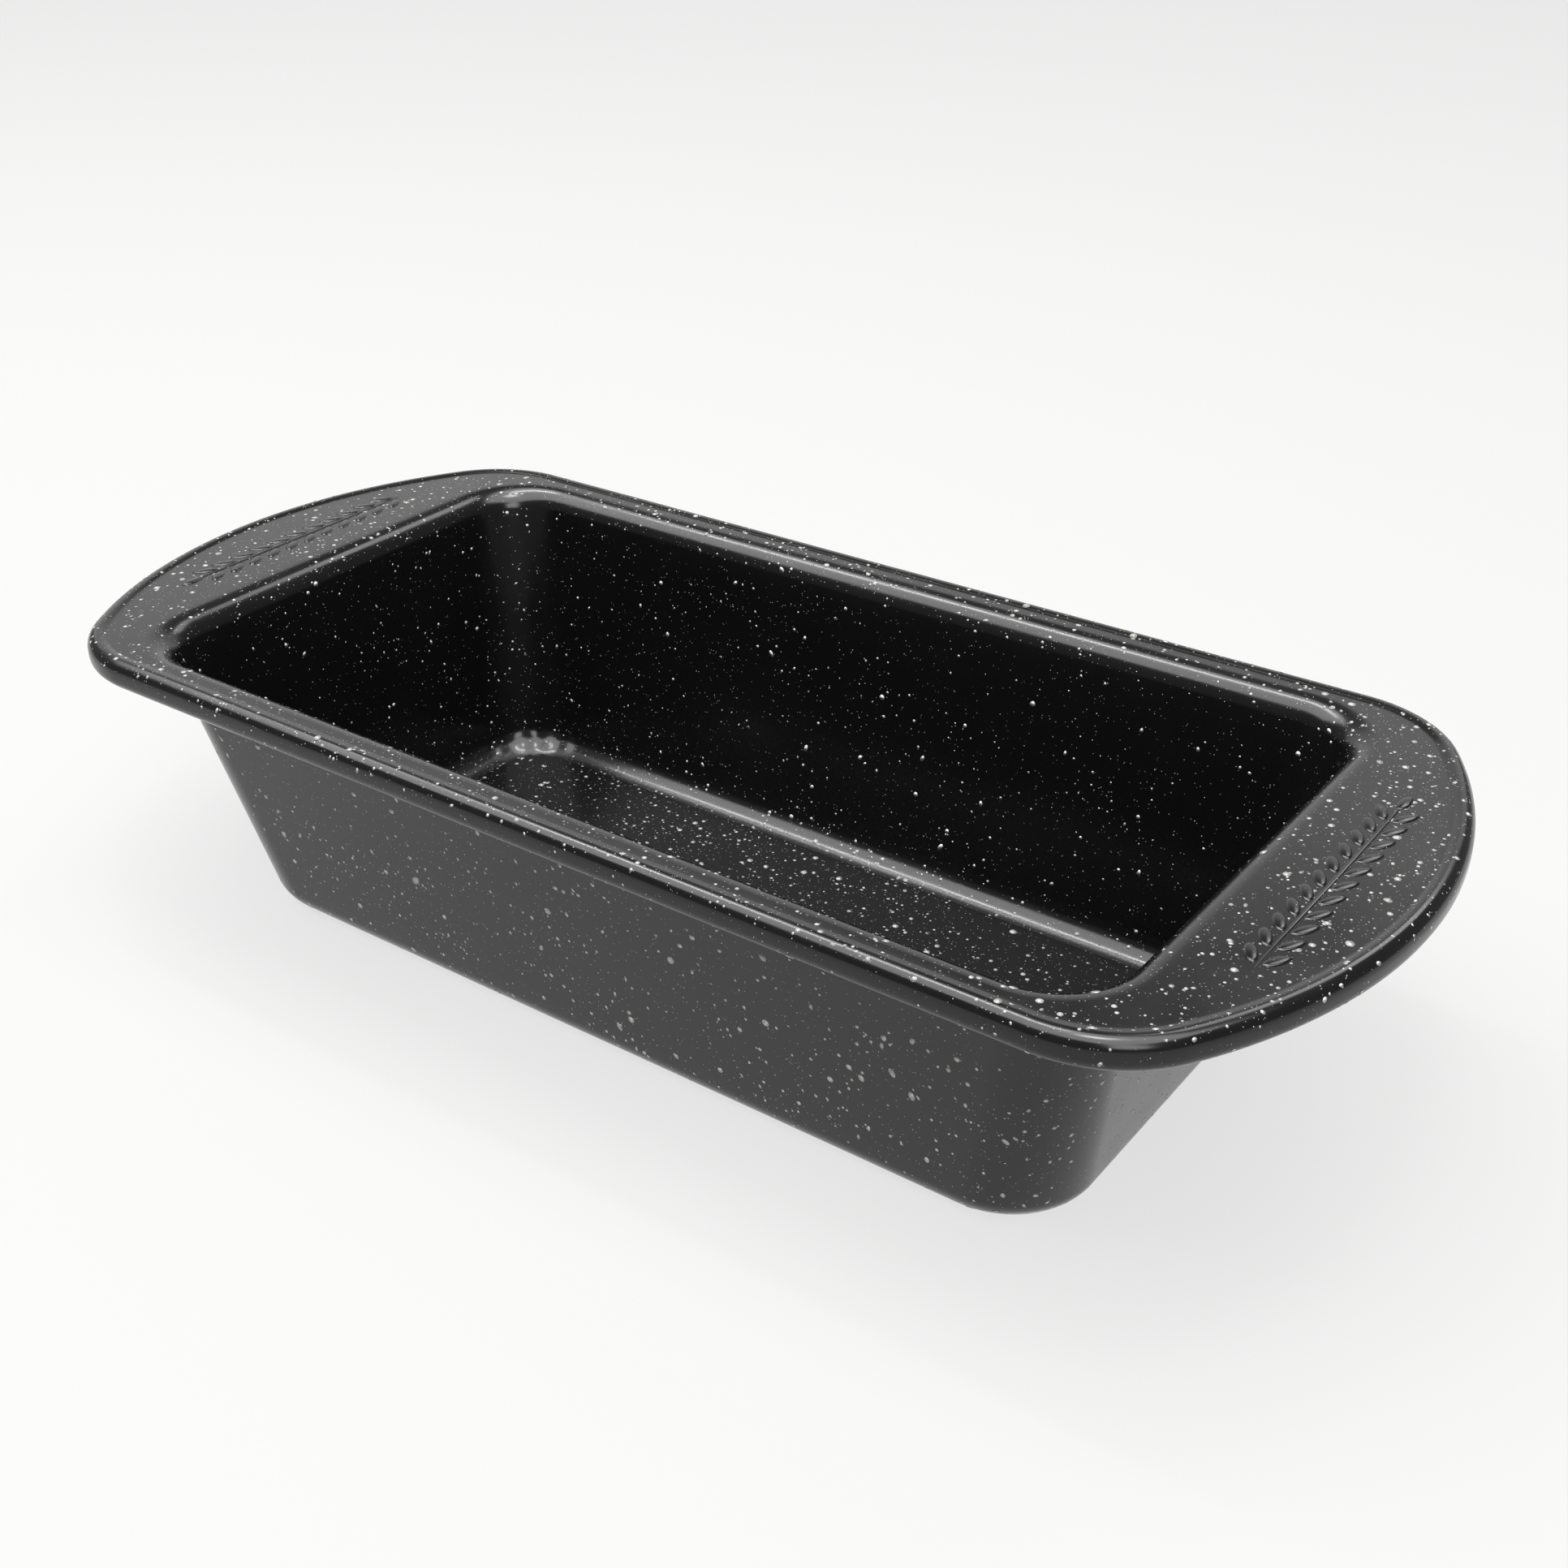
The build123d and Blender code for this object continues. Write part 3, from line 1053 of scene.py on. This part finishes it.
@dataclass(frozen=True)
class WheatEar:
    """An ear of wheat pressed into one wing of the flange, standing a little proud of it."""

    name: str
    side: int
    shape: SheetShape
    grains: int = 11
    spacing: float = mm(5.6)
    grain_size: tuple[float, float, float] = (mm(1.25), mm(3.1), mm(0.3))
    spread: float = mm(2.3)
    slant: float = math.radians(30.0)
    inset: float = mm(18.0)
    stem_size: tuple[float, float, float] = (mm(0.5), mm(36.0), mm(0.22))
    grain: Droplet = Droplet(16, ((1.0, -0.4), (0.94, 0.4), (0.62, 0.85)))

    def tree(self) -> bpy.types.NodeTree:
        """Builds the tree that lays grains in pairs along a stem, with one at the tip."""
        tree, given, result = new_geometry_tree(
            self.name,
            {"Grain": "NodeSocketObject", "Grains": "NodeSocketInt", "Spacing": "NodeSocketFloat",
             "Spread": "NodeSocketFloat", "Slant": "NodeSocketFloat",
             "Grain Size": "NodeSocketVector", "Stem Size": "NodeSocketVector",
             "Place": "NodeSocketVector", "Turn": "NodeSocketFloat",
             "Coat": "NodeSocketMaterial"})
        ask = given.outputs
        grain = add_node(tree, "GeometryNodeObjectInfo", None, {"Object": ask["Grain"]})
        step = add_node(tree, "ShaderNodeCombineXYZ", None, {"Y": ask["Spacing"]})
        half_count = add_node(tree, "ShaderNodeMath", {"operation": "MULTIPLY", 1: -0.5},
                              {0: ask["Grains"]})
        first = add_node(tree, "ShaderNodeVectorMath", {"operation": "SCALE"},
                         {0: step.outputs[0], "Scale": half_count.outputs[0]})
        row = add_node(tree, "GeometryNodeMeshLine", None,
                       {"Count": ask["Grains"], "Start Location": first.outputs[0],
                        "Offset": step.outputs[0]})
        parts = []
        for hand in (-1.0, 1.0):
            lean = add_node(tree, "ShaderNodeMath", {"operation": "MULTIPLY", 1: -hand},
                            {0: ask["Slant"]})
            turned = add_node(tree, "ShaderNodeCombineXYZ", None, {"Z": lean.outputs[0]})
            reach = add_node(tree, "ShaderNodeMath", {"operation": "MULTIPLY", 1: hand},
                             {0: ask["Spread"]})
            aside = add_node(tree, "ShaderNodeCombineXYZ", None, {"X": reach.outputs[0]})
            placed = add_node(tree, "GeometryNodeSetPosition", None,
                              {"Geometry": row.outputs[0], "Offset": aside.outputs[0]})
            laid = add_node(tree, "GeometryNodeInstanceOnPoints", None,
                            {"Points": placed.outputs[0], "Instance": grain.outputs["Geometry"],
                             "Rotation": turned.outputs[0], "Scale": ask["Grain Size"]})
            parts.append(laid.outputs[0])
        last = add_node(tree, "ShaderNodeVectorMath", {"operation": "SCALE", "Scale": -1.0},
                        {0: first.outputs[0]})
        tip = add_node(tree, "GeometryNodeMeshLine", {"Count": 1},
                       {"Start Location": last.outputs[0]})
        tip_grain = add_node(tree, "GeometryNodeInstanceOnPoints", None,
                             {"Points": tip.outputs[0], "Instance": grain.outputs["Geometry"],
                              "Scale": ask["Grain Size"]})
        base = add_node(tree, "GeometryNodeMeshLine", {"Count": 1})
        stem = add_node(tree, "GeometryNodeInstanceOnPoints", None,
                        {"Points": base.outputs[0], "Instance": grain.outputs["Geometry"],
                         "Scale": ask["Stem Size"]})
        ear = add_node(tree, "GeometryNodeJoinGeometry")
        for part in (*parts, tip_grain.outputs[0], stem.outputs[0]):
            tree.links.new(part, ear.inputs[0])
        real = add_node(tree, "GeometryNodeRealizeInstances", None, {"Geometry": ear.outputs[0]})
        about = add_node(tree, "ShaderNodeCombineXYZ", None, {"Z": ask["Turn"]})
        moved = add_node(tree, "GeometryNodeTransform", None,
                         {"Geometry": real.outputs[0], "Translation": ask["Place"],
                          "Rotation": about.outputs[0]})
        smooth = add_node(tree, "GeometryNodeSetShadeSmooth", None, {"Geometry": moved.outputs[0]})
        dressed = add_node(tree, "GeometryNodeSetMaterial", None,
                           {"Geometry": smooth.outputs[0], "Material": ask["Coat"]})
        tree.links.new(dressed.outputs[0], result.inputs[0])
        return tree

    def build(self, material: bpy.types.Material) -> bpy.types.Object:
        """Lays the ear on its wing, dresses it and ties it to the pan.

        Args:
            material: The coat's finish.

        Returns:
            The finished piece.
        """
        piece = add_object(self.name, bpy.data.meshes.new(self.name))
        grain = add_object("grain", self.grain.mesh("grain"))
        tree = self.tree()
        middle = self.side * (self.shape.length / 2 - self.inset)
        bake_tree(piece, tree, {
            "Grain": grain, "Grains": self.grains, "Spacing": self.spacing,
            "Spread": self.spread, "Slant": self.slant, "Grain Size": self.grain_size,
            "Stem Size": self.stem_size, "Place": (middle, 0.0, self.shape.flange_top),
            "Turn": 0.0 if self.side > 0 else math.pi, "Coat": material})
        discard(grain, tree)
        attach(piece, ROOT)
        log.info("%s: %d triangles", self.name, triangles_of(piece))
        return piece


# ---- studio ------------------------------------------------------------------------------------


@dataclass(frozen=True)
class SoftBox:
    """A soft rectangular light that faces the pan."""

    name: str
    place: tuple[float, float, float]
    size: tuple[float, float]
    watts: float
    aim: tuple[float, float, float] = (0.0, 0.0, 0.05)
    roll: float = 0.0

    def build(self) -> None:
        """Adds the light."""
        data = bpy.data.lights.new(self.name, "AREA")
        data.shape = "RECTANGLE"
        data.size, data.size_y = self.size
        data.energy = self.watts
        light = bpy.data.objects.new(self.name, data)
        facing = Vector(self.aim) - Vector(self.place)
        turn = facing.to_track_quat("-Z", "Y").to_matrix() @ Matrix.Rotation(self.roll, 3, "Z")
        light.matrix_world = Matrix.Translation(self.place) @ turn.to_4x4()
        bpy.context.scene.collection.objects.link(light)


@dataclass(frozen=True)
class Camera:
    """A camera by where it stands, what it looks at and its lens."""

    place: tuple[float, float, float] = (0.2288, -0.29457, 0.24854)
    yaw: float = 2.20219
    pitch: float = -0.5083
    roll: float = -0.00611
    lens: float = 46.10

    def build(self) -> None:
        """Adds the camera and makes it the scene's."""
        data = bpy.data.cameras.new("camera")
        data.lens = self.lens
        data.sensor_width = 36.0
        data.clip_start = 0.01
        data.clip_end = 20.0
        camera = bpy.data.objects.new("camera", data)
        level = math.cos(self.pitch)
        ahead = Vector((level * math.cos(self.yaw), level * math.sin(self.yaw),
                        math.sin(self.pitch)))
        right = ahead.cross(Vector((0, 0, 1))).normalized()
        up = right.cross(ahead)
        turned_right = right * math.cos(self.roll) + up * math.sin(self.roll)
        turned_up = up * math.cos(self.roll) - right * math.sin(self.roll)
        turn = Matrix((turned_right, turned_up, -ahead)).transposed()
        camera.matrix_world = Matrix.Translation(self.place) @ turn.to_4x4()
        bpy.context.scene.collection.objects.link(camera)
        bpy.context.scene.camera = camera


@dataclass(frozen=True)
class LitPaper:
    """Pale paper on a light table: it glows evenly, so the pan's own shadow stays faint."""

    name: str = "pale_lit_paper"
    colour: str = "#555554"
    glow: float = 0.71

    def material(self) -> bpy.types.Material:
        """Builds the material."""
        material, _, shader = new_material(self.name)
        shader.inputs["Base Color"].default_value = linear(self.colour)
        shader.inputs["Roughness"].default_value = 0.9
        shader.inputs["Specular IOR Level"].default_value = 0.0
        shader.inputs["Emission Color"].default_value = (1.0, 1.0, 1.0, 1.0)
        shader.inputs["Emission Strength"].default_value = self.glow
        return material


@dataclass(frozen=True)
class Studio:
    """A pale table, a dim room and soft lights.

    The ceiling box, the strip and the hot box draw the bright lines along the rim and the
    fillets, the front box lifts the far fillet, the back screen greys the flange, and the high
    back box lights the wings' shoulders.
    """

    floor_half: float = 4.0
    room_light: float = 0.25
    lights: tuple[SoftBox, ...] = (
        SoftBox("ceiling", (-0.25, -0.25, 1.15), (2.3, 1.3), 46.0, (-0.25, -0.25, 0.0)),
        SoftBox("strip", (-0.45, 0.1, 1.05), (0.7, 0.05), 4.5, (-0.45, 0.1, 0.0)),
        SoftBox("hot_box", (0.12, -0.1, 1.1), (0.2, 0.2), 2.5, (0.12, -0.1, 0.0)),
        SoftBox("front_box", (0.95, -0.87, 0.85), (0.55, 0.55), 5.5),
        SoftBox("back_screen", (-0.84, 1.2, 0.55), (2.4, 0.9), 5.6),
        SoftBox("high_back_box", (0.05, 1.05, 1.15), (0.45, 0.7), 5.0),
    )

    def build(self) -> None:
        """Builds the floor, the room's light and the soft boxes."""
        half = self.floor_half
        mesh = bpy.data.meshes.new("floor")
        mesh.from_pydata([(-half, -half, 0), (half, -half, 0), (half, half, 0), (-half, half, 0)],
                         [], [(0, 1, 2, 3)])
        mesh.materials.append(LitPaper().material())
        add_object("floor", mesh)
        world = bpy.data.worlds.new("room")
        world.use_nodes = True
        world.node_tree.nodes.clear()
        light = add_node(world.node_tree, "ShaderNodeBackground",
                         {"Color": (1.0, 1.0, 1.0, 1.0), "Strength": self.room_light})
        add_node(world.node_tree, "ShaderNodeOutputWorld", None, {0: light.outputs[0]})
        scene = bpy.context.scene
        scene.world = world
        scene.view_settings.view_transform = "Standard"
        for box in self.lights:
            box.build()


def main() -> None:
    """Builds the pan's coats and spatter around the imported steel, and the studio."""
    logging.basicConfig(level=logging.INFO, format="%(name)s: %(message)s")
    lowest, highest = (Vector(corner) for corner in cad_bounds)
    size = highest - lowest
    shape = SheetShape(length=size.x, width=size.y, height=size.z)
    coat = NonStickCoat().material()
    paint = SpatterPaint().material()
    inner = CoatSkin("inner_coat_skin", "inner_coating", "inner_coat", Face.CAVITY, shape)
    outer = CoatSkin("outer_coat_skin", "outer_coating", "outer_coat", Face.OUTSIDE, shape)
    for skin in (inner, outer):
        skin.build(coat)
    for skin, seed, share, trim in ((inner, 11, 0.25, 0.75), (outer, 29, 0.55, 1.0)):
        Spatter(skin, Grade.COARSE, seed, share, trim).build(paint)
        Spatter(skin, Grade.FINE, seed + 2, share, trim).build(paint)
    WheatEar("right_wheat_ear", 1, shape).build(coat)
    WheatEar("left_wheat_ear", -1, shape).build(coat)
    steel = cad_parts["steel_shell"]
    steel.data.materials.clear()
    steel.data.materials.append(RolledSteel().material())
    Studio().build()
    Camera().build()


if __name__ == "__main__":
    main()
